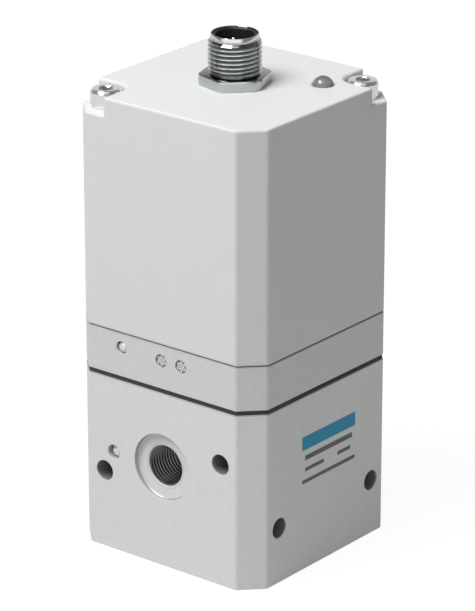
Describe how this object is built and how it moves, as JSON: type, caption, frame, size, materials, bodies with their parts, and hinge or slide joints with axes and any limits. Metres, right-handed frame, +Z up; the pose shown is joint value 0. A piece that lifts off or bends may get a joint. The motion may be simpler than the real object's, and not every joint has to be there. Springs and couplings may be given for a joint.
{
  "type": "electro-pneumatic regulator",
  "caption": "Upright square electro-pneumatic pressure regulator: metal valve body with threaded air ports, diaphragm relay, pilot plate and tall grey cover with a round plug connector.",
  "frame": {"origin": "middle of the bottom face of the valve body", "axes": "+Z up through the plug connector, -Y out of the supply port, +X out of the side with the lower mounting holes"},
  "size_m": [0.052, 0.052, 0.1185],
  "materials": {
    "cast_aluminium": "blasted and clear anodised",
    "turned_aluminium": "turned",
    "brass": "turned",
    "gilt_brass": "plated",
    "steel": "bright",
    "nickel_plate": "nickel plated",
    "sintered_metal": "sintered grains",
    "rubber": "matt",
    "cover_plastic": "fine moulded grain",
    "black_plastic": "matt",
    "board_laminate": "satin",
    "lamp_plastic": "clear smoked"
  },
  "bodies": {
    "housing": {"valve_body": "cast_aluminium", "pilot_plate": "cast_aluminium", "valve_sleeve": "turned_aluminium", "poppet_guide": "brass", "stem_guide": "brass", "connector_pins": "gilt_brass", "body_ball_plug": "steel", "plate_ball_plug": "steel", "poppet_spring": "steel", "retaining_ring": "steel", "short_screws": "steel", "long_screws": "steel", "board_screws": "steel", "pressure_sensor": "steel", "fill_spring": "steel", "vent_spring": "steel", "pilot_valve_screws": "steel", "led_leads": "steel", "connector_shell": "nickel_plate", "connector_locknut": "nickel_plate", "breather_discs": "sintered_metal", "poppet_o_ring": "rubber", "sleeve_o_rings": "rubber", "diaphragm": "rubber", "cover_gasket": "rubber", "connector_seal": "rubber", "sensor_seal": "rubber", "pilot_valve_seals": "rubber", "top_cover": "cover_plastic", "connector_insert": "black_plastic", "board_components": "black_plastic", "fill_valve_base": "black_plastic", "fill_valve_coil": "black_plastic", "vent_valve_base": "black_plastic", "vent_valve_coil": "black_plastic", "circuit_board": "board_laminate", "status_led": "lamp_plastic"},
    "main_poppet": {"poppet": "brass", "poppet_seal": "rubber"},
    "relay": {"diaphragm_stem": "turned_aluminium", "relief_pad": "rubber", "diaphragm_washer": "turned_aluminium", "diaphragm_nut": "steel"},
    "fill_armature": {"fill_plunger": "steel"},
    "vent_armature": {"vent_plunger": "steel"}
  },
  "joints": [
    {"name": "poppet_stroke", "type": "slide", "parent": "housing", "child": "main_poppet", "axis": [0, 0, 1], "range_m": [-0.0008, 0], "stiffness_N_per_m": 1500, "springref_m": 0.004, "deforming": ["poppet_spring"]},
    {"name": "relay_lift", "type": "slide", "parent": "main_poppet", "child": "relay", "axis": [0, 0, 1], "range_m": [0, 0.0006], "stiffness_N_per_m": 800, "deforming": ["diaphragm"]},
    {"name": "fill_stroke", "type": "slide", "parent": "housing", "child": "fill_armature", "axis": [0, 0, 1], "range_m": [0, 0.0005], "stiffness_N_per_m": 400, "springref_m": -0.003, "deforming": ["fill_spring"]},
    {"name": "vent_stroke", "type": "slide", "parent": "housing", "child": "vent_armature", "axis": [0, 0, 1], "range_m": [0, 0.0005], "stiffness_N_per_m": 400, "springref_m": -0.003, "deforming": ["vent_spring"]}
  ]
}
